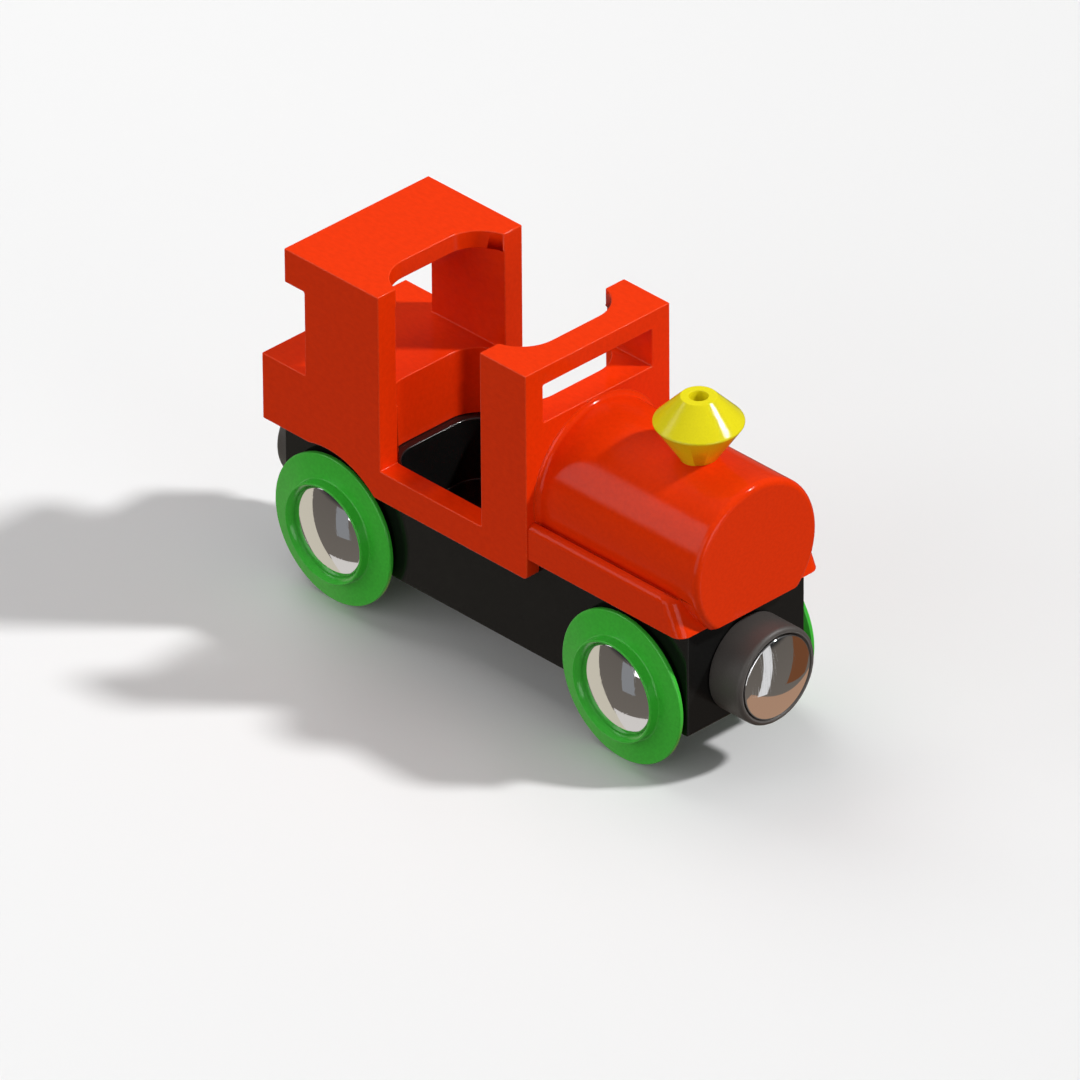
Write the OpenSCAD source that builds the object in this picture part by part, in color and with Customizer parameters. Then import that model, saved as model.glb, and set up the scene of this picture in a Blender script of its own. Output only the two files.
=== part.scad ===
// Toy steam engine for a wooden railway.
// +X is the way the engine drives, +Y is its left side, +Z is up.
// The origin is on the ground, midway between the two couplers.

/* [Chassis] */
// Length of the black chassis block
chassis_l = 93; // [92:0.5:94]
// Width of the chassis block, between the wheels
chassis_w = 26.3; // [26:0.1:26.4]
// Height of the chassis underside above the ground
ground_gap = 9; // [8.5:0.1:9.5]
// Height of the seam between the chassis and the red mouldings
deck_z = 28.6; // [28.4:0.1:29]
// Wall thickness of the chassis tray
tray_wall = 2.2; // [1.8:0.1:2.4]

/* [Wheels] */
// Radius of a wheel at its tread
wheel_r = 13.5; // [13:0.1:13.6]
// Distance between the two axles
wheelbase = 66.7; // [66:0.1:67.4]
// Distance from the centre line to the back face of a wheel
wheel_in = 13.5; // [13.5:0.05:13.6]
// Distance from the centre line to the outer face of a wheel's rim
wheel_face = 15.2; // [15.1:0.05:15.3]
// Distance from the centre line to the crest of a wheel's raised hub ring
wheel_lip = 17.4; // [17.2:0.1:17.6]
// Outer radius of the raised hub ring
lip_r = 9; // [8.8:0.05:9.1]
// Radius of the chromed hub cap
cap_r = 7.9; // [7.8:0.05:8]
// Radius of a steel axle
axle_r = 1.6; // [1.5:0.05:1.7]
// Radial running clearance of an axle in the chassis
axle_gap = 0.06; // [0.03:0.01:0.1]

/* [Cab] */
// Half of the cab's width
cab_hw = 16.15; // [16:0.05:16.3]
// Height of the roof
cab_top = 63.1; // [62:0.1:64]
// Thickness of the roof
roof_t = 6.35; // [6:0.05:6.6]
// Thickness of the roof above the driver, where it is hollowed from below
roof_skin = 3.33; // [3:0.01:3.6]
// Thickness of the cab's side walls
side_t = 4; // [3.8:0.1:4.2]
// Front face of the cab
cab_front = 12.9; // [12.8:0.1:13]
// Rear face of the windscreen frame, at the doorway
screen_rear = 2.4; // [2:0.1:2.8]
// Front edge of the roof and of the rear side walls, at the doorway
door_rear = -21; // [-21.5:0.1:-20.5]
// Rear edge of the side walls
side_rear = -38.25; // [-38.5:0.05:-38]
// Rear edge of the roof
roof_rear = -42.8; // [-43.2:0.1:-42.4]
// Rear face of the bunker
bunker_rear = -48.4; // [-48.8:0.1:-48]
// Height of the bunker's top
bunker_top = 41.05; // [40.5:0.05:41.5]
// Height of the doorway's sill
sill_z = 30.4; // [30:0.1:30.8]
// Lower edge of the side skirts between the wheels
skirt_z = 24.8; // [24.4:0.1:25.2]
// Radius of the wheel arch in the skirts
arch_r = 15.7; // [15.3:0.1:16]
// Height of the windscreen's lower edge
screen_lo = 52.83; // [52:0.01:53.5]
// Height of the windscreen's upper edge
screen_hi = 59.77; // [59:0.01:60]

/* [Driver's well] */
// Rear end of the well
well_x0 = -26.6; // [-27:0.1:-26.2]
// Front end of the well
well_x1 = 7.7; // [7.4:0.1:8]
// Half of the well's width
well_hw = 12.15; // [12:0.05:12.2]
// Corner radius of the well
well_r = 7; // [6.5:0.1:7.5]
// Ledge where the well gets narrower in the chassis
ledge = 1.6; // [1.4:0.1:1.8]
// Height of the well's floor
floor_z = 17; // [16:0.1:18]

/* [Boiler] */
// Radius of the boiler
boiler_r = 13.65; // [13.5:0.05:13.8]
// Height of the boiler's axis
boiler_z = 38; // [37.9:0.05:38.1]
// Front face of the boiler
boiler_front = 49; // [48.8:0.1:49.2]
// Wall thickness of the boiler
boiler_wall = 2.3; // [2:0.1:2.5]
// Rounding of the boiler's front edge
nose_r = 1.2; // [0.8:0.1:1.6]
// Fillet between the boiler and the cab
flare = 1; // [0.6:0.1:1.4]
// Half of the width over the running boards
board_hw = 15.85; // [15.7:0.05:16]
// Height of the running boards' top
board_top = 35.2; // [34.8:0.1:35.6]
// Front end of the running boards, at deck height
board_front = 47.7; // [47:0.1:48]
// How far the running boards' front leans back over its height
board_rake = 3; // [2:0.1:3.6]
// Radius of the running boards' front corners, seen from above
board_corner = 2.2; // [1.8:0.1:2.6]
// Rounding of the running boards' top edge
board_round = 1.3; // [1:0.1:1.6]
// How far the running boards' top falls towards the boiler
board_fall = 1.15; // [0.8:0.05:1.4]

/* [Chimney] */
// Distance of the chimney's axis from the origin
chimney_x = 35.8; // [35:0.1:36]
// Height of the chimney's top
chimney_top = 62.65; // [62:0.05:62.8]
// Height of the widest ring
chimney_mid = 57.95; // [57.6:0.05:58.3]
// Radius of the widest ring
chimney_r = 7.4; // [7.2:0.05:7.5]
// Radius of the top and of the foot
chimney_end_r = 3.15; // [3:0.05:3.2]
// Radius of the blind hole in the top
flue_r = 1.57; // [1.5:0.01:1.7]
// Depth of the blind hole
flue_d = 9; // [4:0.5:10]

/* [Couplers] */
// Outer radius of the coupler sleeve
sleeve_r = 8.6; // [8.5:0.05:8.7]
// Length of the sleeve outside the chassis
sleeve_l = 7.1; // [6.9:0.1:7.3]
// Height of the couplers' axis
coupler_z = 17.7; // [17.6:0.05:17.8]
// Inner radius of the sleeve
sleeve_in = 7.45; // [7.45:0.05:7.55]
// Outer radius of the domed magnet cap
dome_r = 7.15; // [7.1:0.01:7.15]
// Height of the dome over its edge
dome_h = 1.4; // [1:0.1:1.8]
// Radius of the magnet's pin
pin_r = 1.1; // [1:0.05:1.2]

/* [Hidden] */
$fn = 96;
e = 0.01;
red = [0.78, 0.13, 0.03];
black = [0.1, 0.1, 0.1];
green = [0.16, 0.6, 0.15];
yellow = [0.92, 0.84, 0.12];
chrome_c = [0.85, 0.86, 0.88];
rubber_c = [0.27, 0.26, 0.25];
steel_c = [0.62, 0.63, 0.65];

axle_x = wheelbase / 2;
axle_z = wheel_r;
end_x = chassis_l / 2;
chassis_hw = chassis_w / 2;
axle_half = wheel_face + 0.65;
skirt_in = chassis_hw + 0.05;
screw_x = 40.6;
screw_y = 7.4;
screw_r = 1.2;
seat_z = 18;          // where a screw head sits
boss_top = 38;        // top of the screw bosses in the red mouldings
screw_top = 35;

// points on a circular arc
function arc(cx, cy, r, a0, a1, n) = [for (i = [0:n]) let(a = a0 + (a1 - a0) * i / n) [cx + r * cos(a), cy + r * sin(a)]];
// points on a dome of height h over radius rr, from the rim (r = rr) to the axis
function cap_arc(rr, h, y0, n) = let(s = (rr * rr + h * h) / (2 * h), a = asin(rr / s))
    [for (i = [0:n]) let(t = a * (1 - i / n)) [s * sin(t), y0 + h - s + s * cos(t)]];

module box(x0, x1, y0, y1, z0, z1) { translate([x0, y0, z0]) cube([x1 - x0, y1 - y0, z1 - z0]); }

// rectangle with round corners, drawn as squares and circles
module round_rect(x0, x1, hw, r) {
    translate([x0 + r, -hw]) square([x1 - x0 - 2 * r, 2 * hw]);
    translate([x0, -hw + r]) square([x1 - x0, 2 * hw - 2 * r]);
    for (x = [x0 + r, x1 - r], y = [-hw + r, hw - r]) translate([x, y]) circle(r);
}

// turns a shape revolved about Z so that its axis is +X (s = 1) or -X (s = -1)
module along_x(s) { rotate([0, s * 90, 0]) children(); }
// turns a shape revolved about Z so that its axis is +Y (s = 1) or -Y (s = -1)
module along_y(s) { rotate([-s * 90, 0, 0]) children(); }

// ---------- chassis ----------
module chassis() {
    color(black) difference() {
        union() {
            difference() {
                box(-end_x, end_x, -chassis_hw, chassis_hw, ground_gap, deck_z);
                box(well_x1 + 2, end_x - tray_wall, -chassis_hw + tray_wall, chassis_hw - tray_wall, ground_gap + tray_wall, deck_z + 1);
                box(-end_x + tray_wall, well_x0 - 1.2, -chassis_hw + tray_wall, chassis_hw - tray_wall, ground_gap + tray_wall, deck_z + 1);
            }
            // bearing bosses for the axles
            for (x = [-axle_x, axle_x], s = [-1, 1])
                translate([x, s * (chassis_hw - 0.5), axle_z]) along_y(-s) cylinder(r = 3.3, h = 5);
            // screw posts
            for (x = [-screw_x, screw_x], y = [-screw_y, screw_y])
                translate([x, y, ground_gap + 1]) cylinder(r = 3.4, h = deck_z - ground_gap - 1);
        }
        // driver's well
        translate([0, 0, floor_z]) linear_extrude(deck_z) round_rect(well_x0 + ledge, well_x1 - ledge, well_hw - ledge, well_r - ledge);
        // axle bores
        for (x = [-axle_x, axle_x])
            translate([x, -chassis_hw - 1, axle_z]) along_y(1) cylinder(r = axle_r + axle_gap, h = chassis_w + 2);
        // screw holes, counterbored from below
        for (x = [-screw_x, screw_x], y = [-screw_y, screw_y]) translate([x, y, 0]) {
            cylinder(r = 2.5, h = seat_z);
            cylinder(r = screw_r + 0.1, h = 40);
        }
        // seats of the coupler sleeves
        for (s = [-1, 1]) translate([s * (end_x + 1), 0, coupler_z]) along_x(-s) cylinder(r = 3.55, h = 4);
    }
}

// ---------- cab ----------
module cab() {
    color(red) difference() {
        union() {
            box(bunker_rear, well_x0 + well_r + 1, -cab_hw, cab_hw, deck_z, bunker_top);
            box(bunker_rear, cab_front, -cab_hw, cab_hw, deck_z, sill_z);
            box(screen_rear, cab_front, -cab_hw, cab_hw, deck_z, cab_top);
            box(roof_rear, door_rear, -cab_hw, cab_hw, cab_top - roof_t, cab_top);
            for (s = [-1, 1]) {
                box(side_rear, door_rear, s > 0 ? cab_hw - side_t : -cab_hw, s > 0 ? cab_hw : -cab_hw + side_t, deck_z, cab_top);
                box(-axle_x, cab_front, s > 0 ? skirt_in : -cab_hw, s > 0 ? cab_hw : -skirt_in, skirt_z, deck_z + 1);
            }
        }
        // the space between the bunker's front and the doorway
        box(door_rear, screen_rear, -cab_hw - 1, cab_hw + 1, sill_z, cab_top + 1);
        // hollow under the roof
        box(roof_rear + roof_skin, door_rear + 1, -well_hw, well_hw, cab_top - roof_t - 1, cab_top - roof_skin);
        // driver's well
        translate([0, 0, deck_z - 1]) linear_extrude(cab_top) round_rect(well_x0, well_x1, well_hw, well_r);
        // windscreen
        box(screen_rear - 1, cab_front + 1, -well_hw, well_hw, screen_lo, screen_hi);
        // wheel arches
        for (s = [-1, 1]) translate([-axle_x, s * (skirt_in - 0.01), axle_z]) along_y(s) cylinder(r = arch_r, h = 5);
        // hollow of the bunker, with two screw bosses left standing
        difference() {
            box(-end_x + tray_wall, well_x0 - 2.2, -11.4, 11.4, deck_z - 1, bunker_top - 2.2);
            for (y = [-screw_y, screw_y]) translate([-screw_x, y, deck_z - 2]) cylinder(r = 3.2, h = 20);
        }
        for (y = [-screw_y, screw_y]) translate([-screw_x, y, deck_z - 1]) cylinder(r = screw_r + 0.01, h = boss_top - 2 - deck_z + 1);
    }
}

// ---------- boiler and running boards ----------
module boiler_shape() {
    // revolved outline of the boiler: radius against distance along X
    l = boiler_front - cab_front;
    pts = concat([[0, 0]],
                 [[boiler_r + flare, 0]],
                 arc(boiler_r + flare, flare, flare, 270, 180, 8),
                 arc(boiler_r - nose_r, l - nose_r, nose_r, 0, 90, 8),
                 [[0, l]]);
    translate([cab_front, 0, boiler_z]) along_x(1) rotate_extrude() polygon(pts);
}
module board_level(z, d) {
    // outline of the boards at one height, drawn in by d all round; the front leans back
    x = board_front - board_rake * (z - deck_z) / (board_top - deck_z) - d;
    r = board_corner - d;
    w = board_hw - d;
    translate([0, 0, z]) linear_extrude(0.01) union() {
        translate([cab_front, -w]) square([x - r - cab_front, 2 * w]);
        translate([cab_front, r - w]) square([x - cab_front, 2 * (w - r)]);
        for (y = [r - w, w - r]) translate([x - r, y]) circle(r, $fn = 64);
    }
}
module boards() {
    difference() {
        hull() {
            board_level(deck_z, 0);
            for (a = [0:11.25:90]) board_level(board_top - 0.01 - board_round * (1 - sin(a)), board_round * (1 - cos(a)));
        }
        // the top falls a little towards the boiler
        translate([cab_front - 1, 0, 0]) rotate([90, 0, 90]) linear_extrude(board_front - cab_front + 2)
            polygon([[board_hw - board_round, board_top], [12.9, board_top - board_fall], [-12.9, board_top - board_fall],
                     [-board_hw + board_round, board_top], [-board_hw + board_round, board_top + 1], [board_hw - board_round, board_top + 1]]);
    }
}
module boiler() {
    color(red) difference() {
        union() {
            difference() {
                boiler_shape();
                box(0, 60, -20, 20, 0, deck_z);
            }
            boards();
        }
        // hollow, open towards the chassis, with two screw bosses left standing
        difference() {
            intersection() {
                translate([cab_front + boiler_wall, 0, boiler_z]) along_x(1) cylinder(r = boiler_r - boiler_wall, h = end_x - tray_wall - cab_front - boiler_wall);
                box(0, 60, -20, 20, deck_z - 1, 60);
            }
            for (y = [-screw_y, screw_y]) translate([screw_x, y, deck_z - 2]) cylinder(r = 3.2, h = 12);
        }
        for (y = [-screw_y, screw_y]) translate([screw_x, y, deck_z - 1]) cylinder(r = screw_r + 0.01, h = boss_top - 2 - deck_z + 1);
        // seat of the chimney's spigot
        translate([chimney_x, 0, boiler_z]) cylinder(r = 2.03, h = 20);
    }
}

// ---------- chimney ----------
module chimney() {
    color(yellow) translate([chimney_x, 0, 0]) difference() {
        union() {
            difference() {
                rotate_extrude() polygon(concat(
                    [[0, boiler_z + boiler_r - 1.2], [chimney_end_r, boiler_z + boiler_r - 1.2], [chimney_end_r, boiler_z + boiler_r - 0.25]],
                    arc(chimney_r - 0.35, chimney_mid, 0.35, -48, 48, 6),
                    arc(chimney_end_r - 0.3, chimney_top - 0.3, 0.3, 46, 90, 4),
                    [[0, chimney_top]]));
                translate([-20, 0, boiler_z]) along_x(1) cylinder(r = boiler_r, h = 40);
            }
            translate([0, 0, boiler_z + boiler_r - 3.2]) cylinder(r = 2, h = 5);
        }
        translate([0, 0, chimney_top - flue_d]) cylinder(r = flue_r, h = flue_d + 1);
    }
}

// ---------- wheelsets ----------
module axle(x) {
    color(steel_c) translate([x, -axle_half, axle_z]) along_y(1)
        rotate_extrude() polygon([[0, 0], [axle_r - 0.25, 0], [axle_r, 0.25], [axle_r, 2 * axle_half - 0.25], [axle_r - 0.25, 2 * axle_half], [0, 2 * axle_half]]);
}
module wheel(x, s) {
    f = wheel_face;
    color(green) translate([x, 0, axle_z]) along_y(s) rotate_extrude() polygon(concat(
        [[axle_r, wheel_in], [wheel_r - 1.25, wheel_in], [wheel_r - 0.35, f - 0.95]],
        arc(wheel_r - 0.2, f - 0.65, 0.2, -42, 0, 3),
        arc(wheel_r - 0.3, f - 0.3, 0.3, 0, 86, 5),
        [[lip_r + 0.3, f + 0.3]],
        arc(lip_r + 0.3, f + 0.6, 0.3, 266, 180, 4),
        arc(lip_r - 0.22, wheel_lip - 0.22, 0.22, 0, 90, 4),
        [[lip_r - 0.4, wheel_lip], [cap_r + 0.05, f + 1], [cap_r + 0.05, f - 0.2], [3.1, f - 0.2], [3.1, axle_half], [axle_r, axle_half]]));
}
module hub_cap(x, s) {
    f = wheel_face;
    color(chrome_c) translate([x, 0, axle_z]) along_y(s) rotate_extrude() polygon(concat(
        [[cap_r - 0.6, f - 0.15], [cap_r, f - 0.15]],
        cap_arc(cap_r, 1.5, f + 1, 10),
        [for (i = [0:8]) cap_arc(cap_r - 0.6, 1.3, f + 0.55, 8)[8 - i]]));
}
module front_axle() { axle(axle_x); }
module rear_axle() { axle(-axle_x); }
module front_left_wheel() { wheel(axle_x, 1); }
module front_right_wheel() { wheel(axle_x, -1); }
module rear_left_wheel() { wheel(-axle_x, 1); }
module rear_right_wheel() { wheel(-axle_x, -1); }
module front_left_hub_cap() { hub_cap(axle_x, 1); }
module front_right_hub_cap() { hub_cap(axle_x, -1); }
module rear_left_hub_cap() { hub_cap(-axle_x, 1); }
module rear_right_hub_cap() { hub_cap(-axle_x, -1); }

// ---------- couplers ----------
// Each is revolved about its own axis, with height measured outwards from the chassis' end face.
module at_coupler(s) { translate([s * end_x, 0, coupler_z]) along_x(s) children(); }
module coupler_sleeve(s) {
    l = sleeve_l;
    color(rubber_c) at_coupler(s) rotate_extrude() polygon(concat(
        [[pin_r + 0.05, -2], [3.5, -2], [3.5, 0], [sleeve_r - 0.3, 0], [sleeve_r, 0.3]],
        arc(sleeve_r - 0.8, l - 0.8, 0.8, 0, 90, 8),
        arc(sleeve_in + 0.25, l - 0.25, 0.25, 90, 180, 4),
        [[sleeve_in, 1.6], [pin_r + 0.05, 1.6]]));
}
module magnet(s) {
    color(steel_c) at_coupler(s) rotate_extrude() polygon([[pin_r, 2.2], [dome_r - 0.65, 2.2], [dome_r - 0.45, 2.4], [dome_r - 0.45, 5.4], [dome_r - 0.65, 5.6], [pin_r, 5.6]]);
}
module magnet_cap(s) {
    l = sleeve_l;
    color(chrome_c) at_coupler(s) rotate_extrude() polygon(concat(
        [[dome_r - 0.4, 2], [dome_r, 2]],
        cap_arc(dome_r, dome_h, l, 10),
        [for (i = [0:8]) cap_arc(dome_r - 0.4, dome_h - 0.1, l - 0.35, 8)[8 - i]]));
}
module magnet_pin(s) {
    color(steel_c) at_coupler(s) rotate_extrude() polygon([[0, -3.1], [2, -3.1], [2, -2.3], [pin_r, -2.3], [pin_r, 5.65], [2.2, 5.65], [2.2, 6.2], [1.9, 6.5], [0, 6.5]]);
}
module front_coupler_sleeve() { coupler_sleeve(1); }
module rear_coupler_sleeve() { coupler_sleeve(-1); }
module front_magnet() { magnet(1); }
module rear_magnet() { magnet(-1); }
module front_magnet_cap() { magnet_cap(1); }
module rear_magnet_cap() { magnet_cap(-1); }
module front_magnet_pin() { magnet_pin(1); }
module rear_magnet_pin() { magnet_pin(-1); }

// ---------- screws ----------
module screw() {
    difference() {
        rotate_extrude() polygon([[0, seat_z - 1.7], [1.8, seat_z - 1.7], [2.3, seat_z - 1.2], [2.3, seat_z], [screw_r, seat_z], [screw_r, screw_top - 1], [0.4, screw_top], [0, screw_top]]);
        // cross recess
        for (a = [0, 90]) rotate(a) translate([-1.3, -0.25, seat_z - 2]) cube([2.6, 0.5, 1.2]);
    }
}
module body_screws() {
    color(steel_c) for (x = [-screw_x, screw_x], y = [-screw_y, screw_y]) translate([x, y, 0]) screw();
}

chassis();
cab();
boiler();
chimney();
front_axle();
rear_axle();
front_left_wheel();
front_right_wheel();
rear_left_wheel();
rear_right_wheel();
front_left_hub_cap();
front_right_hub_cap();
rear_left_hub_cap();
rear_right_hub_cap();
front_coupler_sleeve();
rear_coupler_sleeve();
front_magnet();
rear_magnet();
front_magnet_cap();
rear_magnet_cap();
front_magnet_pin();
rear_magnet_pin();
body_screws();
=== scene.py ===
import math

import bmesh
import bpy
from mathutils import Matrix, Vector


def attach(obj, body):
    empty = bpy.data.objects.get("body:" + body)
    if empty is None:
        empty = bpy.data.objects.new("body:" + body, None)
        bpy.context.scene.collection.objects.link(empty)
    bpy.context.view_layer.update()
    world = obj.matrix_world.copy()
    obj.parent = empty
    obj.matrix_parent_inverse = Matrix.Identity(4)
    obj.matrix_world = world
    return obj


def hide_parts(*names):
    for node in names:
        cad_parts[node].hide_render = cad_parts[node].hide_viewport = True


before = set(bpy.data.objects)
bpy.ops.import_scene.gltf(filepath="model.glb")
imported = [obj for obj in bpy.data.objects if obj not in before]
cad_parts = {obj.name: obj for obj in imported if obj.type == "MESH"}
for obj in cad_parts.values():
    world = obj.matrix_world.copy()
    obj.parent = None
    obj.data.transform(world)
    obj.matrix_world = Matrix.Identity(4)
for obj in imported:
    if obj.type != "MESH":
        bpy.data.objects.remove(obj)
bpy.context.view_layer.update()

scene = bpy.context.scene
scene.view_settings.view_transform = "Standard"
scene.view_settings.look = "None"
MM = 0.001
RAD = math.radians

# ------------------------------------------------------------------ sizes, mm, as in part.scad
DECK = 28.6
AX, AZ = 33.35, 13.5
HW = 16.15
SKIRT_IN = 13.2


# ------------------------------------------------------------------ mesh tools, all working in mm
def new_obj(name, bm):
    me = bpy.data.meshes.new(name)
    bm.to_mesh(me)
    bm.free()
    ob = bpy.data.objects.new(name, me)
    scene.collection.objects.link(ob)
    return ob


def box(x0, x1, y0, y1, z0, z1, name="tmp"):
    bm = bmesh.new()
    v = [bm.verts.new((x, y, z)) for x in (x0, x1) for y in (y0, y1) for z in (z0, z1)]
    for f in ((0, 1, 3, 2), (4, 6, 7, 5), (0, 4, 5, 1), (2, 3, 7, 6), (0, 2, 6, 4), (1, 5, 7, 3)):
        bm.faces.new([v[i] for i in f])
    bmesh.ops.recalc_face_normals(bm, faces=bm.faces)
    return new_obj(name, bm)


def prism(points, lo, hi, axis="z", name="tmp"):
    """Extrudes a closed outline. axis z: points are (x, y); y: (x, z); x: (y, z)."""
    def at(p, h):
        return {"z": (p[0], p[1], h), "y": (p[0], h, p[1]), "x": (h, p[0], p[1])}[axis]
    bm = bmesh.new()
    a = [bm.verts.new(at(p, lo)) for p in points]
    b = [bm.verts.new(at(p, hi)) for p in points]
    bm.faces.new(a)
    bm.faces.new(list(reversed(b)))
    n = len(points)
    for i in range(n):
        j = (i + 1) % n
        bm.faces.new((a[j], a[i], b[i], b[j]))
    bmesh.ops.recalc_face_normals(bm, faces=bm.faces)
    return new_obj(name, bm)


def arc(cx, cy, r, a0, a1, n):
    return [(cx + r * math.cos(RAD(a0 + (a1 - a0) * i / n)), cy + r * math.sin(RAD(a0 + (a1 - a0) * i / n))) for i in range(n + 1)]


def round_rect(x0, x1, hw, r, n=20):
    return (arc(x1 - r, hw - r, r, 0, 90, n) + arc(x0 + r, hw - r, r, 90, 180, n)
            + arc(x0 + r, -hw + r, r, 180, 270, n) + arc(x1 - r, -hw + r, r, 270, 360, n))


def lathe(profile, place, seg=160, name="tmp", closed=True):
    """Revolves (radius, height) points about the local Z axis, then puts the result in place with a matrix."""
    bm = bmesh.new()
    rings = []
    for r, h in profile:
        if r < 1e-6:
            rings.append([bm.verts.new((0, 0, h))])
        else:
            rings.append([bm.verts.new((r * math.cos(2 * math.pi * i / seg), r * math.sin(2 * math.pi * i / seg), h)) for i in range(seg)])
    pairs = list(zip(rings, rings[1:]))
    if closed and not (len(rings[0]) == 1 and len(rings[-1]) == 1):
        pairs.append((rings[-1], rings[0]))
    for a, b in pairs:
        if len(a) == 1 and len(b) == 1:
            continue
        for i in range(seg):
            j = (i + 1) % seg
            if len(a) == 1:
                bm.faces.new((a[0], b[i], b[j]))
            elif len(b) == 1:
                bm.faces.new((a[i], a[j], b[0]))
            else:
                bm.faces.new((a[i], a[j], b[j], b[i]))
    bmesh.ops.recalc_face_normals(bm, faces=bm.faces)
    ob = new_obj(name, bm)
    ob.data.transform(place)
    if place.determinant() < 0:
        ob.data.flip_normals()
    return ob


def evaluated(ob):
    dg = bpy.context.evaluated_depsgraph_get()
    me = bpy.data.meshes.new_from_object(ob.evaluated_get(dg))
    old = ob.data
    ob.modifiers.clear()
    ob.data = me
    bpy.data.meshes.remove(old)
    return ob


def boolean(ob, others, op):
    for o in others:
        m = ob.modifiers.new("b", "BOOLEAN")
        m.operation = op
        m.solver = "EXACT"
        m.object = o
        m.use_self = False
    bpy.context.view_layer.update()
    evaluated(ob)
    for o in others:
        me = o.data
        bpy.data.objects.remove(o)
        bpy.data.meshes.remove(me)
    return ob


def clean(ob, angle=0.4):
    bm = bmesh.new()
    bm.from_mesh(ob.data)
    bmesh.ops.remove_doubles(bm, verts=bm.verts, dist=0.0005)
    bmesh.ops.dissolve_limit(bm, angle_limit=RAD(angle), verts=bm.verts, edges=bm.edges, delimit={"NORMAL"})
    bm.to_mesh(ob.data)
    bm.free()
    return ob


def bevelled(ob, width, segments=3, angle=32, slot_for_edge=True, skip=None, share=None):
    """Rounds every edge sharper than the angle, apart from those that skip() names by their middle point. share() gives an edge's part of the width."""
    bm = bmesh.new()
    bm.from_mesh(ob.data)
    lay = bm.edges.layers.float.get("bevel_weight_edge") or bm.edges.layers.float.new("bevel_weight_edge")
    for e in bm.edges:
        sharp = len(e.link_faces) == 2 and e.calc_face_angle(0.0) > RAD(angle)
        if sharp and skip and skip((e.verts[0].co + e.verts[1].co) / 2):
            sharp = False
        e[lay] = (share(e) if share else 1.0) if sharp else 0.0
    bm.to_mesh(ob.data)
    bm.free()
    m = ob.modifiers.new("bevel", "BEVEL")
    m.width = width
    m.segments = segments
    m.limit_method = "WEIGHT"
    m.miter_outer = "MITER_ARC"
    m.use_clamp_overlap = False
    m.offset_type = "OFFSET"
    m.harden_normals = False
    if slot_for_edge:
        ob.data.materials.clear()
        ob.data.materials.append(None)
        ob.data.materials.append(None)
        m.material = 1
    bpy.context.view_layer.update()
    return evaluated(ob)


def finish_piece(ob, name, material, body, nodes, edge_slot=False):
    """Marks the worn edges, scales to metres, gives the material, and hands the piece to the frame."""
    me = ob.data
    att = me.attributes.new("edge", "FLOAT", "POINT")
    n = len(me.vertices)
    val = [0.0] * n
    if edge_slot:
        inner = [True] * n
        for p in me.polygons:
            if p.material_index != 1:
                for v in p.vertices:
                    inner[v] = False
        val = [1.0 if x else 0.0 for x in inner]
    att.data.foreach_set("value", val)
    for p in me.polygons:
        p.material_index = 0
        p.use_smooth = True
    me.materials.clear()
    me.materials.append(material)
    me.transform(Matrix.Scale(MM, 4))
    ob.name = name
    me.name = name
    w = ob.modifiers.new("normals", "WEIGHTED_NORMAL")
    w.mode = "FACE_AREA"
    w.weight = 100
    w.keep_sharp = True
    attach(ob, body)
    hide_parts(*nodes)
    return ob


# ------------------------------------------------------------------ materials
def nodes_of(name):
    mat = bpy.data.materials.new(name)
    mat.use_nodes = True
    nt = mat.node_tree
    nt.nodes.clear()
    out = nt.nodes.new("ShaderNodeOutputMaterial")
    bsdf = nt.nodes.new("ShaderNodeBsdfPrincipled")
    nt.links.new(bsdf.outputs[0], out.inputs[0])
    return mat, nt, bsdf


def noise(nt, scale, detail=3.0, rough=0.5, vector=None, distortion=0.0):
    n = nt.nodes.new("ShaderNodeTexNoise")
    n.inputs["Scale"].default_value = scale
    n.inputs["Detail"].default_value = detail
    n.inputs["Roughness"].default_value = rough
    n.inputs["Distortion"].default_value = distortion
    if vector:
        nt.links.new(vector, n.inputs["Vector"])
    return n.outputs["Fac"]


def ramp(nt, fac, a, b, lo=0.0, hi=1.0):
    m = nt.nodes.new("ShaderNodeMapRange")
    m.inputs["From Min"].default_value = a
    m.inputs["From Max"].default_value = b
    m.inputs["To Min"].default_value = lo
    m.inputs["To Max"].default_value = hi
    m.clamp = True
    nt.links.new(fac, m.inputs["Value"])
    return m.outputs["Result"]


def math_node(nt, op, a, b):
    m = nt.nodes.new("ShaderNodeMath")
    m.operation = op
    for i, x in enumerate((a, b)):
        if isinstance(x, (int, float)):
            m.inputs[i].default_value = x
        else:
            nt.links.new(x, m.inputs[i])
    return m.outputs[0]


def mix_color(nt, fac, a, b):
    m = nt.nodes.new("ShaderNodeMix")
    m.data_type = "RGBA"
    nt.links.new(fac, m.inputs["Factor"])
    for i, x in ((6, a), (7, b)):
        if isinstance(x, tuple):
            m.inputs[i].default_value = (*x, 1)
        else:
            nt.links.new(x, m.inputs[i])
    return m.outputs[2]


def coords(nt, scale=(1, 1, 1), rot=(0, 0, 0)):
    t = nt.nodes.new("ShaderNodeTexCoord")
    m = nt.nodes.new("ShaderNodeMapping")
    m.inputs["Scale"].default_value = scale
    m.inputs["Rotation"].default_value = rot
    nt.links.new(t.outputs["Object"], m.inputs["Vector"])
    return m.outputs[0]


def scratches(nt, scale, angle, width=0.012):
    """Thin hair lines: a stretched noise cut to a narrow band."""
    v = coords(nt, (scale, scale * 14, scale), (0.3, 0.5, angle))
    f = noise(nt, 1.0, 2.0, 0.5, v, 0.4)
    d = math_node(nt, "ABSOLUTE", math_node(nt, "SUBTRACT", f, 0.5), 0.0)
    return ramp(nt, d, 0.0, width, 1.0, 0.0)


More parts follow.
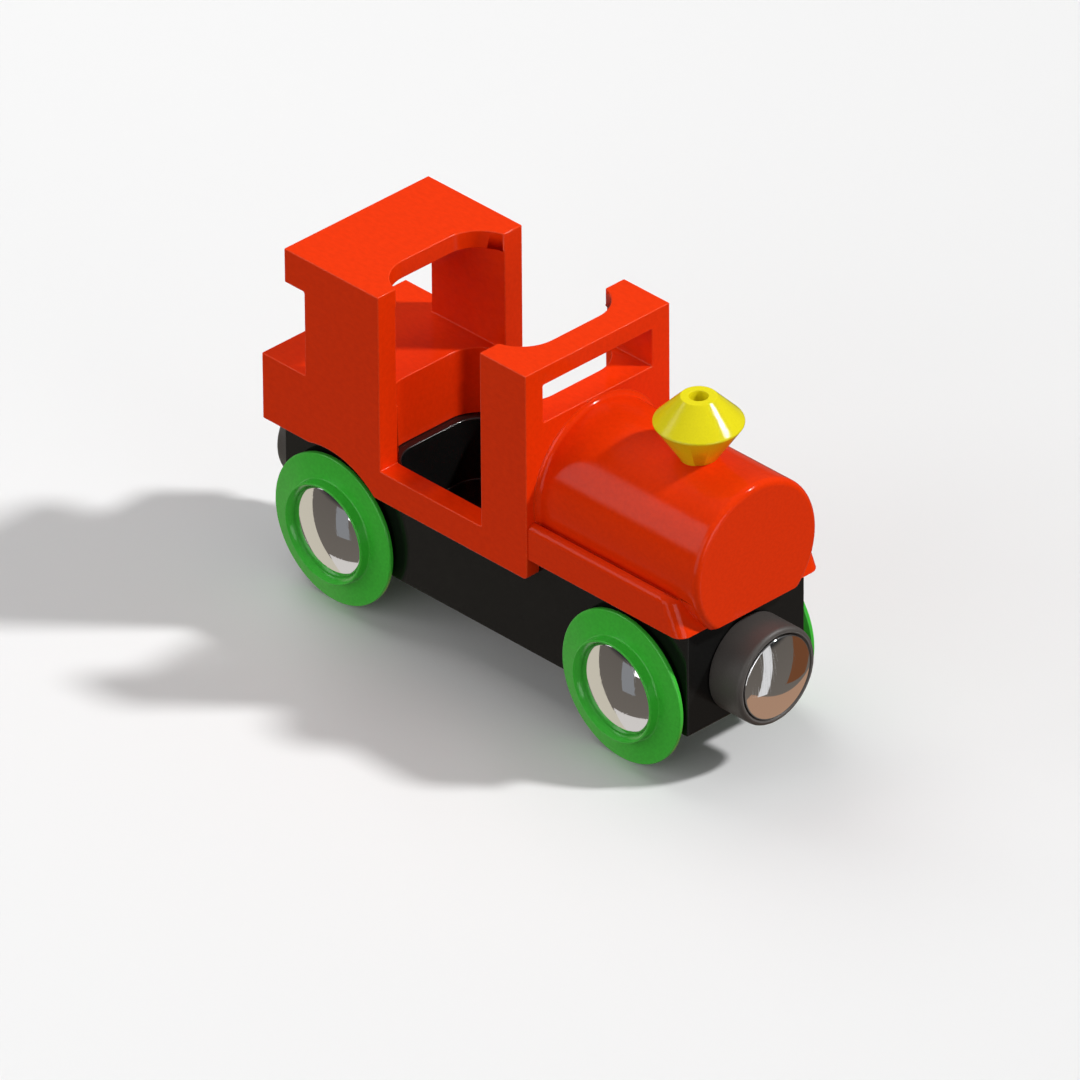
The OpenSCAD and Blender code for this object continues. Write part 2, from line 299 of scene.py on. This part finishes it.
def gloss_plastic(name, color, dark, worn, rough=0.07, spec=0.5, peel=0.02, ior=1.5):
    """Moulded gloss plastic: slight flow variation in its colour, finger smears and hair scratches in its gloss,
    a faint orange peel, and rubbed edges."""
    mat, nt, bsdf = nodes_of(name)
    edge = nt.nodes.new("ShaderNodeAttribute")
    edge.attribute_name = "edge"
    big = noise(nt, 45, 4, 0.6)
    mid = noise(nt, 260, 3, 0.6)
    c1 = mix_color(nt, ramp(nt, big, 0.35, 0.68), color, dark)
    speck = ramp(nt, noise(nt, 2600, 2, 0.7), 0.68, 0.74, 0.0, 0.16)
    c2 = mix_color(nt, speck, c1, worn)
    rub = math_node(nt, "MULTIPLY", edge.outputs["Fac"], ramp(nt, mid, 0.42, 0.62, 0.25, 0.9))
    c3 = mix_color(nt, math_node(nt, "MULTIPLY", rub, 0.45), c2, worn)
    nt.links.new(c3, bsdf.inputs["Base Color"])
    smear = ramp(nt, noise(nt, 90, 5, 0.65, None, 1.2), 0.48, 0.72, 0.0, 0.07)
    hair = math_node(nt, "ADD", scratches(nt, 55, 0.4), scratches(nt, 38, 1.9))
    hair_here = math_node(nt, "MULTIPLY", hair, ramp(nt, mid, 0.5, 0.7, 0.0, 0.12))
    r1 = math_node(nt, "ADD", smear, rough)
    r2 = math_node(nt, "ADD", r1, hair_here)
    r3 = math_node(nt, "ADD", r2, math_node(nt, "MULTIPLY", rub, 0.12))
    nt.links.new(r3, bsdf.inputs["Roughness"])
    bsdf.inputs["IOR"].default_value = ior
    bsdf.inputs["Specular IOR Level"].default_value = spec
    b1 = nt.nodes.new("ShaderNodeBump")
    b1.inputs["Strength"].default_value = 0.25
    b1.inputs["Distance"].default_value = peel * MM
    nt.links.new(noise(nt, 420, 2, 0.5), b1.inputs["Height"])
    b2 = nt.nodes.new("ShaderNodeBump")
    b2.inputs["Strength"].default_value = 0.2
    b2.inputs["Distance"].default_value = 0.004 * MM
    b2.invert = True
    nt.links.new(hair_here, b2.inputs["Height"])
    nt.links.new(b1.outputs[0], b2.inputs["Normal"])
    nt.links.new(b2.outputs[0], bsdf.inputs["Normal"])
    return mat


def matt_plastic(name, color, dark):
    mat, nt, bsdf = nodes_of(name)
    edge = nt.nodes.new("ShaderNodeAttribute")
    edge.attribute_name = "edge"
    grain = noise(nt, 3800, 3, 0.6)
    big = noise(nt, 70, 4, 0.6)
    c = mix_color(nt, ramp(nt, big, 0.35, 0.7), color, dark)
    c = mix_color(nt, ramp(nt, grain, 0.55, 0.75, 0.0, 0.25), c, tuple(min(1, x * 1.7) for x in color))
    nt.links.new(c, bsdf.inputs["Base Color"])
    nt.links.new(ramp(nt, big, 0.3, 0.7, 0.42, 0.56), bsdf.inputs["Roughness"])
    b = nt.nodes.new("ShaderNodeBump")
    b.inputs["Strength"].default_value = 0.35
    b.inputs["Distance"].default_value = 0.03 * MM
    nt.links.new(grain, b.inputs["Height"])
    nt.links.new(b.outputs[0], bsdf.inputs["Normal"])
    return mat


def metal(name, color, dark, rough, brushed=0.0, smudge=0.06, dent=0.0):
    mat, nt, bsdf = nodes_of(name)
    bsdf.inputs["Metallic"].default_value = 1.0
    big = noise(nt, 110, 4, 0.6, None, 0.8)
    fine = noise(nt, 1500, 3, 0.6)
    c = mix_color(nt, ramp(nt, big, 0.4, 0.75, 0.0, 0.6), color, dark)
    nt.links.new(c, bsdf.inputs["Base Color"])
    hair = math_node(nt, "ADD", scratches(nt, 90, 0.2, 0.01), scratches(nt, 70, 1.3, 0.01))
    r = math_node(nt, "ADD", ramp(nt, big, 0.45, 0.75, 0.0, smudge), rough)
    r = math_node(nt, "ADD", r, math_node(nt, "MULTIPLY", hair, 0.05))
    nt.links.new(r, bsdf.inputs["Roughness"])
    b = nt.nodes.new("ShaderNodeBump")
    b.inputs["Strength"].default_value = 0.2
    b.inputs["Distance"].default_value = 0.004 * MM
    nt.links.new(math_node(nt, "ADD", math_node(nt, "MULTIPLY", fine, brushed), hair), b.inputs["Height"])
    nt.links.new(b.outputs[0], bsdf.inputs["Normal"])
    return mat


RED = gloss_plastic("red_gloss_plastic", (0.86, 0.040, 0.002), (0.80, 0.035, 0.0018), (0.92, 0.11, 0.035), rough=0.06, spec=0.16)
BLACK = gloss_plastic("black_gloss_plastic", (0.0085, 0.0085, 0.008), (0.006, 0.006, 0.006), (0.05, 0.05, 0.048), rough=0.10, spec=0.45)
GREEN = gloss_plastic("green_gloss_plastic", (0.060, 0.58, 0.048), (0.050, 0.50, 0.040), (0.16, 0.55, 0.14), rough=0.10, spec=0.4)
YELLOW = gloss_plastic("yellow_gloss_plastic", (0.84, 0.74, 0.010), (0.79, 0.69, 0.008), (0.93, 0.88, 0.35), rough=0.07, spec=0.45)
GREY = matt_plastic("grey_matt_plastic", (0.085, 0.076, 0.070), (0.068, 0.061, 0.056))
CHROME = metal("bright_chrome", (0.86, 0.86, 0.87), (0.80, 0.80, 0.81), 0.018, smudge=0.03)
STEEL = metal("drawn_steel", (0.60, 0.60, 0.61), (0.50, 0.50, 0.51), 0.22, brushed=1.0, smudge=0.12)
FERRITE = metal("sintered_ferrite", (0.10, 0.10, 0.105), (0.06, 0.06, 0.065), 0.5, brushed=1.0, smudge=0.15)


# ------------------------------------------------------------------ cab
def make_cab():
    ob = box(-48.4, 12.9, -HW, HW, DECK, 63.1, "cab_shell")
    cut = [
        box(-60, -42.8, -30, 30, 41.05, 80),                          # behind the roof, over the bunker
        box(-60, -38.25, -30, 30, 41.05, 56.75),                      # under the roof's overhang
        box(-38.9, -20, -12.15, 12.15, 41.05, 56.75),                 # rear window
        box(-39.47, -20, -12.15, 12.15, 50, 59.77),                   # hollow under the roof
        box(-21.0, 2.4, -30, 30, 30.4, 80),                           # doorway
        prism(round_rect(-26.6, 7.7, 12.15, 7.0), DECK - 5, 80),      # driver's well
        box(0, 20, -12.15, 12.15, 52.83, 59.77),                      # windscreen
        prism(arc(-AX, AZ, 15.7, 0, 360, 192)[:-1], -40, 40, "y"),    # wheel arches
    ]
    boolean(ob, cut, "DIFFERENCE")
    # skirts, outside the chassis
    front = 12.9
    r = 0.9
    side = [(-AX, DECK + 1.0), (-AX, 24.8)] + arc(front - r, 24.8 + r, r, -90, 0, 8) + [(front, DECK + 1.0)]
    for y0, y1 in ((-HW, -SKIRT_IN), (SKIRT_IN, HW)):
        s = prism(side, y0, y1, "y")
        boolean(s, [prism(arc(-AX, AZ, 15.7, 0, 360, 192)[:-1], -40, 40, "y")], "DIFFERENCE")
        boolean(ob, [s], "UNION")
    # hollow of the bunker, with its two screw bosses
    hollow = box(-44.3, -28.8, -11.4, 11.4, DECK - 3, 38.85)
    posts = [lathe([(0, 20), (3.2, 20), (3.2, 45), (0, 45)], Matrix.Translation((-40.6, y, 0)), 64) for y in (-7.4, 7.4)]
    boolean(hollow, posts, "DIFFERENCE")
    holes = [lathe([(0, 20), (1.21, 20), (1.21, 36), (0, 36)], Matrix.Translation((-40.6, y, 0)), 48) for y in (-7.4, 7.4)]
    boolean(ob, [hollow] + holes, "DIFFERENCE")
    clean(ob)

    def sliver(c):
        # where the well's round corner runs out into a flat wall, the two are too close to round over
        if not 10.9 < abs(c.y) < 12.2:
            return False
        if -24.4 < c.x < -21.05 and (abs(c.z - 41.05) < 0.1 or abs(c.z - 59.77) < 0.1):
            return True
        return 2.45 < c.x < 5.6 and (abs(c.z - 52.83) < 0.1 or abs(c.z - 59.77) < 0.1)

    bevelled(ob, 0.24, 3, skip=sliver)
    return finish_piece(ob, "cab_shell", RED, "body", ["cab"], True)


make_cab()


# ------------------------------------------------------------------ boiler with its running boards
def make_boiler():
    r, zc = 13.65, 38.0
    length = 49.0 - 12.9
    nose, flare = 1.2, 1.0
    turn = Matrix.Translation((12.9, 0, zc)) @ Matrix.Rotation(RAD(90), 4, "Y")
    prof = ([(0, 0), (r + flare, 0)] + arc(r + flare, flare, flare, 270, 180, 10)
            + arc(r - nose, length - nose, nose, 0, 90, 12) + [(0, length)])
    ob = lathe(prof, turn, 256, "boiler_shell")
    boolean(ob, [box(0, 60, -30, 30, 0, DECK)], "DIFFERENCE")
    # running boards: a front that leans back, round corners, a round top edge, and a top that falls towards the boiler
    rt, bh, bt, bf, rc, rake = 1.3, 15.85, 35.2, 47.7, 2.2, 3.0
    bm = bmesh.new()
    loops = []
    for z, d in [(DECK, 0)] + [(bt - rt + rt * math.sin(RAD(90 * i / 12)), rt * (1 - math.cos(RAD(90 * i / 12)))) for i in range(13)]:
        xf = bf - rake * (z - DECK) / (bt - DECK) - d
        w, r2 = bh - d, rc - d
        loop = [(12.9, -w)] + arc(xf - r2, r2 - w, r2, -90, 0, 14) + arc(xf - r2, w - r2, r2, 0, 90, 14) + [(12.9, w)]
        loops.append([bm.verts.new((x, y, z)) for x, y in loop])
    n = len(loops[0])
    for lo, hi in zip(loops, loops[1:]):
        for i in range(n):
            bm.faces.new((lo[i], lo[(i + 1) % n], hi[(i + 1) % n], hi[i]))
    bm.faces.new(loops[0][::-1])
    bm.faces.new(loops[-1])
    boards = new_obj("boards", bm)
    fall = prism([(bh - rt, bt), (12.9, bt - 1.15), (-12.9, bt - 1.15), (rt - bh, bt), (rt - bh, bt + 3), (bh - rt, bt + 3)], 0, 60, "x")
    boolean(boards, [fall], "DIFFERENCE")
    boolean(ob, [boards], "UNION")
    # hollow with its screw bosses
    hollow = lathe([(0, 2.3), (r - 2.3, 2.3), (r - 2.3, 31.4), (0, 31.4)], turn, 128)
    boolean(hollow, [box(0, 60, -30, 30, 0, DECK - 1.5)], "DIFFERENCE")
    posts = [lathe([(0, 20), (3.2, 20), (3.2, 38.6), (0, 38.6)], Matrix.Translation((40.6, y, 0)), 64) for y in (-7.4, 7.4)]
    boolean(hollow, posts, "DIFFERENCE")
    holes = [lathe([(0, 20), (1.21, 20), (1.21, 36), (0, 36)], Matrix.Translation((40.6, y, 0)), 48) for y in (-7.4, 7.4)]
    boolean(ob, [hollow, lathe([(0, 40), (2.03, 40), (2.03, 60), (0, 60)], Matrix.Translation((35.8, 0, 0)), 64)] + holes, "DIFFERENCE")
    clean(ob, 0.2)

    def valley(e):
        c = (e.verts[0].co + e.verts[1].co) / 2
        n0, n1 = (f.normal for f in e.link_faces)
        hollow_edge = (e.link_faces[1].calc_center_median() - e.link_faces[0].calc_center_median()).dot(n0) > 0
        on_boiler = abs(math.hypot(c.y, c.z - zc) - r) < 0.1
        if hollow_edge and on_boiler and 13.6 < c.x < 47.75 and c.z < 36:
            return 0.8 if e.calc_length() > 3 else 0.1
        return 0.27

    bevelled(ob, 0.6, 4, 20, share=valley)
    return finish_piece(ob, "boiler_shell", RED, "body", ["boiler"], True)


make_boiler()


# ------------------------------------------------------------------ chassis
def make_chassis():
    ob = box(-46.5, 46.5, -13.15, 13.15, 9.0, DECK, "chassis_block")
    cut = [box(9.7, 44.3, -10.95, 10.95, 11.2, 40), box(-44.3, -27.8, -10.95, 10.95, 11.2, 40)]
    boolean(ob, cut, "DIFFERENCE")
    for x in (-AX, AX):
        for s in (-1, 1):
            turn = Matrix.Translation((x, s * 12.65, AZ)) @ Matrix.Rotation(RAD(90 * s), 4, "X")
            boolean(ob, [lathe([(0, 0), (3.3, 0), (3.3, 5), (0, 5)], turn, 64)], "UNION")
    for x in (-40.6, 40.6):
        for y in (-7.4, 7.4):
            boolean(ob, [lathe([(0, 10), (3.4, 10), (3.4, DECK), (0, DECK)], Matrix.Translation((x, y, 0)), 64)], "UNION")
    cut = [prism(round_rect(-25.0, 6.1, 10.55, 5.4), 17.0, 50)]
    for x in (-AX, AX):
        cut.append(prism(arc(x, AZ, 1.66, 0, 360, 64)[:-1], -20, 20, "y"))
    for x in (-40.6, 40.6):
        for y in (-7.4, 7.4):
            cut.append(lathe([(0, 0), (2.5, 0), (2.5, 18), (1.3, 18), (1.3, 60), (0, 60)], Matrix.Translation((x, y, 0)), 64))
    for s in (-1, 1):
        turn = Matrix.Translation((s * 50, 0, 17.7)) @ Matrix.Rotation(RAD(-90 * s), 4, "Y")
        cut.append(lathe([(0, 0), (3.55, 0), (3.55, 6.5), (0, 6.5)], turn, 64))
    boolean(ob, cut, "DIFFERENCE")
    clean(ob)
    bevelled(ob, 0.28, 3)
    return finish_piece(ob, "chassis_block", BLACK, "body", ["chassis"], True)


make_chassis()


# ------------------------------------------------------------------ chimney
def make_chimney():
    rt, rm, re = 7.4, 0.35, 3.15
    prof = ([(0, 50.2), (re, 50.2), (re, 51.4)] + arc(rt - rm, 57.95, rm, -48, 48, 10)
            + arc(re - 0.3, 62.35, 0.3, 46, 90, 6) + arc(1.57 + 0.15, 62.5, 0.15, 90, 180, 4)
            + arc(1.57 - 0.4, 54.05, 0.4, 0, -90, 5) + [(0, 53.65)])
    ob = lathe(prof, Matrix.Translation((35.8, 0, 0)), 192, "chimney_cone")
    cutter = lathe([(0, 0), (13.65, 0), (13.65, 40), (0, 40)], Matrix.Translation((15, 0, 38)) @ Matrix.Rotation(RAD(90), 4, "Y"), 256)
    boolean(ob, [cutter], "DIFFERENCE")
    boolean(ob, [lathe([(0, 48.45), (2.0, 48.45), (2.0, 54), (0, 54)], Matrix.Translation((35.8, 0, 0)), 64)], "UNION")
    clean(ob, 0.1)
    return finish_piece(ob, "chimney_cone", YELLOW, "body", ["chimney"])


make_chimney()


# ------------------------------------------------------------------ wheels and hub caps
def cap_arc(rr, h, y0, n):
    s = (rr * rr + h * h) / (2 * h)
    a = math.asin(rr / s)
    return [(s * math.sin(a * (1 - i / n)), y0 + h - s + s * math.cos(a * (1 - i / n))) for i in range(n + 1)]


def wheel_place(x, s):
    return Matrix.Translation((x, 0, AZ)) @ Matrix.Rotation(RAD(-90 * s), 4, "X")


def make_wheel(end, side):
    x = AX if end == "front" else -AX
    s = 1 if side == "left" else -1
    f, R, L, cr = 15.2, 13.5, 9.0, 7.9
    prof = ([(1.6, 13.5)] + arc(R - 1.25, 13.65, 0.15, 270, 315, 3)
            + arc(R - 0.2, f - 0.65, 0.2, -42, 0, 5) + arc(R - 0.3, f - 0.3, 0.3, 0, 86, 8)
            + arc(L + 0.3, f + 0.6, 0.3, 266, 180, 7)
            + arc(L - 0.22, 17.18, 0.22, 0, 90, 6) + arc(L - 0.28, 17.28, 0.12, 90, 140, 4)
            + [(cr + 0.05, f + 1.0), (cr + 0.05, f - 0.2), (3.1, f - 0.2), (3.1, 15.85), (1.6, 15.85)])
    ob = lathe(prof, wheel_place(x, s), 224)
    name = end + "_" + side + "_wheel"
    return finish_piece(ob, name + "_disc", GREEN, end + "_wheelset", [name])


def make_hub_cap(end, side):
    x = AX if end == "front" else -AX
    s = 1 if side == "left" else -1
    f, cr = 15.2, 7.9
    prof = ([(cr - 0.6, f - 0.15), (cr, f - 0.15)] + cap_arc(cr, 1.5, f + 1.0, 28) + cap_arc(cr - 0.6, 1.3, f + 0.55, 16)[::-1])
    ob = lathe(prof, wheel_place(x, s), 192)
    name = end + "_" + side + "_hub_cap"
    return finish_piece(ob, name + "_dome", CHROME, end + "_wheelset", [name])


for end in ("front", "rear"):
    for side in ("left", "right"):
        make_wheel(end, side)
        make_hub_cap(end, side)


# ------------------------------------------------------------------ couplers
def coupler_place(s):
    return Matrix.Translation((s * 46.5, 0, 17.7)) @ Matrix.Rotation(RAD(90 * s), 4, "Y")


def make_coupler(end):
    s = 1 if end == "front" else -1
    R, ri, l, pr = 8.6, 7.45, 7.1, 1.15
    prof = ([(pr, -2), (3.5, -2), (3.5, 0), (R - 0.3, 0), (R, 0.3)] + arc(R - 0.8, l - 0.8, 0.8, 0, 90, 12)
            + arc(ri + 0.35, l - 0.25, 0.25, 90, 130, 4) + [(ri, l - 0.45), (ri, 1.6), (pr, 1.6)])
    ob = lathe(prof, coupler_place(s), 192)
    finish_piece(ob, end + "_coupler_ring", GREY, "body", [end + "_coupler_sleeve"])
    dr, dh = 7.38, 1.4
    prof = [(6.75, 2), (dr, 2)] + cap_arc(dr, dh, l, 28) + cap_arc(6.75, dh - 0.1, l - 0.35, 16)[::-1]
    ob = lathe(prof, coupler_place(s), 192)
    finish_piece(ob, end + "_magnet_dome", CHROME, end + "_magnet_unit", [end + "_magnet_cap"])


make_coupler("front")
make_coupler("rear")


# ------------------------------------------------------------------ screws, with a cross recess and a thread
def make_screws():
    bodies = []
    for x in (-40.6, 40.6):
        for y in (-7.4, 7.4):
            prof = ([(0, 16.3)] + arc(1.75, 16.85, 0.55, 270, 360, 6) + [(2.3, 18.0), (1.2, 18.0)])
            z = 18.6
            while z < 33.6:
                prof += [(0.95, z), (1.2, z + 0.3), (1.2, z + 0.36), (0.95, z + 0.66)]
                z += 0.9
            prof += [(0.95, 34.0), (0.4, 35.0), (0, 35.0)]
            prof = [p for i, p in enumerate(prof) if i == 0 or p != prof[i - 1]]
            ob = lathe(prof, Matrix.Translation((x, y, 0)), 40)
            cross = box(x - 1.3, x + 1.3, y - 0.25, y + 0.25, 15, 17.2)
            boolean(cross, [box(x - 0.25, x + 0.25, y - 1.3, y + 1.3, 15, 17.2)], "UNION")
            boolean(ob, [cross], "DIFFERENCE")
            bodies.append(ob)
    bm = bmesh.new()
    for o in bodies:
        bm.from_mesh(o.data)
        me = o.data
        bpy.data.objects.remove(o)
        bpy.data.meshes.remove(me)
    ob = new_obj("screws", bm)
    for f in ob.data.polygons:
        f.use_smooth = True
    ob.data.set_sharp_from_angle(angle=RAD(40))
    return finish_piece(ob, "screw_set", STEEL, "body", ["body_screws"])


make_screws()


# ------------------------------------------------------------------ inner CAD pieces keep their shape
for n, mat in (("front_axle", STEEL), ("rear_axle", STEEL), ("front_magnet", FERRITE), ("rear_magnet", FERRITE),
               ("front_magnet_pin", STEEL), ("rear_magnet_pin", STEEL)):
    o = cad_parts[n]
    o.data.materials.clear()
    o.data.materials.append(mat)


# ------------------------------------------------------------------ floor and light
bm = bmesh.new()
bmesh.ops.create_grid(bm, x_segments=2, y_segments=2, size=8.0)
floor = new_obj("floor", bm)
fmat, fnt, fb = nodes_of("pale_floor")
fc = mix_color(fnt, ramp(fnt, noise(fnt, 3, 3, 0.5), 0.3, 0.7), (0.80, 0.80, 0.80), (0.82, 0.82, 0.82))
fnt.links.new(fc, fb.inputs["Base Color"])
fb.inputs["Roughness"].default_value = 0.9
fb.inputs["Specular IOR Level"].default_value = 0.1
floor.data.materials.append(fmat)
floor.visible_glossy = False
floor.visible_diffuse = False


def area(name, loc, target, size, energy, color=(1, 1, 1), size_y=None):
    d = bpy.data.lights.new(name, "AREA")
    d.energy = energy
    d.color = color
    d.size = size
    if size_y:
        d.shape = "RECTANGLE"
        d.size_y = size_y
    o = bpy.data.objects.new(name, d)
    scene.collection.objects.link(o)
    o.location = loc
    o.rotation_mode = "QUATERNION"
    o.rotation_quaternion = (Vector(target) - Vector(loc)).to_track_quat("-Z", "Y")
    return o


sun = bpy.data.lights.new("key", "SUN")
sun.energy = 2.5
sun.angle = RAD(5)
so = bpy.data.objects.new("key", sun)
scene.collection.objects.link(so)
so.rotation_mode = "QUATERNION"
so.rotation_quaternion = Vector((-0.52, -0.50, -0.69)).to_track_quat("-Z", "Y")

area("front", (2.2, -0.3, 0.35), (0, 0, 0.03), 1.2, 12)
area("near", (0.3, -2.2, 0.5), (0, 0, 0.03), 1.9, 18)
area("rear_near", (-1.5, -1.7, 0.95), (0, 0, 0.03), 1.3, 10)
area("rear_top", (-1.2, 0.2, 1.6), (0, 0, 0.03), 1.4, 17).visible_glossy = False



def card(name, toward, left, up, width, height, color, strength):
    """A glowing studio card that only mirrors see: turned left and up from a direction, sizes in degrees."""
    t = Vector(toward).normalized()
    side = t.cross(Vector((0, 0, 1))).normalized()
    d = (t - side * math.tan(RAD(left)) + side.cross(t) * math.tan(RAD(up))).normalized()
    grid = bmesh.new()
    bmesh.ops.create_grid(grid, x_segments=1, y_segments=1, size=0.5)
    o = new_obj(name, grid)
    o.rotation_mode = "QUATERNION"
    o.location = d * 1.5
    o.rotation_quaternion = (-d).to_track_quat("Z", "Y")
    o.scale = (3 * math.tan(RAD(width / 2)), 3 * math.tan(RAD(height / 2)), 1)
    o.visible_camera = o.visible_diffuse = o.visible_shadow = False
    m = bpy.data.materials.new(name)
    m.use_nodes = True
    m.node_tree.nodes.clear()
    em = m.node_tree.nodes.new("ShaderNodeEmission")
    em.inputs["Color"].default_value = color + (1,)
    em.inputs["Strength"].default_value = strength
    mo = m.node_tree.nodes.new("ShaderNodeOutputMaterial")
    m.node_tree.links.new(em.outputs[0], mo.inputs[0])
    o.data.materials.append(m)


side_view = (-0.609, -0.589, -0.531)     # what a flat mirror on the engine's side shows the camera
front_view = (0.609, 0.589, -0.531)      # and what one on its front shows
card("card_side_cream", side_view, -16, 3, 22, 60, (1.0, 0.93, 0.76), 0.62)
card("card_side_white", side_view, -36, 3, 8, 70, (1.0, 1.0, 1.0), 0.9)
card("card_side_low", side_view, 14, -22, 34, 16, (0.92, 0.88, 0.84), 0.75)
card("card_side_grey", side_view, 26, 16, 12, 22, (0.7, 0.72, 0.75), 0.35)
card("card_front_white", front_view, -22, 14, 9, 40, (1.0, 1.0, 1.0), 0.75)
card("card_front_floor", front_view, 4, -24, 70, 30, (0.86, 0.52, 0.34), 0.5)
card("card_front_brown", front_view, 20, 12, 26, 34, (0.42, 0.16, 0.07), 0.4)

world = bpy.data.worlds.new("studio")
scene.world = world
world.use_nodes = True
wn = world.node_tree
wn.nodes.clear()
wo = wn.nodes.new("ShaderNodeOutputWorld")
wb = wn.nodes.new("ShaderNodeBackground")
wn.links.new(wb.outputs[0], wo.inputs[0])
tc = wn.nodes.new("ShaderNodeTexCoord")
sep = wn.nodes.new("ShaderNodeSeparateXYZ")
wn.links.new(tc.outputs["Generated"], sep.inputs[0])
cr = wn.nodes.new("ShaderNodeValToRGB")
mr = wn.nodes.new("ShaderNodeMapRange")
mr.inputs["From Min"].default_value = -1
mr.inputs["From Max"].default_value = 1
wn.links.new(sep.outputs["Z"], mr.inputs["Value"])
wn.links.new(mr.outputs[0], cr.inputs[0])
el = cr.color_ramp.elements
el[0].position, el[0].color = 0.0, (0.17, 0.15, 0.13, 1)
el[1].position, el[1].color = 1.0, (0.20, 0.20, 0.20, 1)
for pos, c in ((0.46, (0.13, 0.115, 0.10, 1)), (0.49, (0.03, 0.03, 0.03, 1)), (0.51, (0.03, 0.03, 0.03, 1)), (0.54, (0.08, 0.08, 0.08, 1)), (0.80, (0.13, 0.13, 0.13, 1))):
    e = el.new(pos)
    e.color = c
wn.links.new(cr.outputs[0], wb.inputs["Color"])
wb.inputs["Strength"].default_value = 1.0


# ------------------------------------------------------------------ camera, as the photograph was taken
cam_data = bpy.data.cameras.new("camera")
cam = bpy.data.objects.new("camera", cam_data)
scene.collection.objects.link(cam)
cam_data.sensor_width = 36
cam_data.sensor_fit = "HORIZONTAL"
cam_data.lens = 622.54
cam_data.clip_start, cam_data.clip_end = 0.1, 60
fwd = Vector((-0.60930, 0.58867, -0.53124)).normalized()
right = Vector((0.69746, 0.71660, -0.00588))
right = (right - right.dot(fwd) * fwd).normalized()
up = right.cross(fwd).normalized()
cam.matrix_world = Matrix.Translation((1.83308, -1.77168, 1.61818)) @ Matrix((
    (right.x, up.x, -fwd.x, 0), (right.y, up.y, -fwd.y, 0), (right.z, up.z, -fwd.z, 0), (0, 0, 0, 1)))
scene.camera = cam
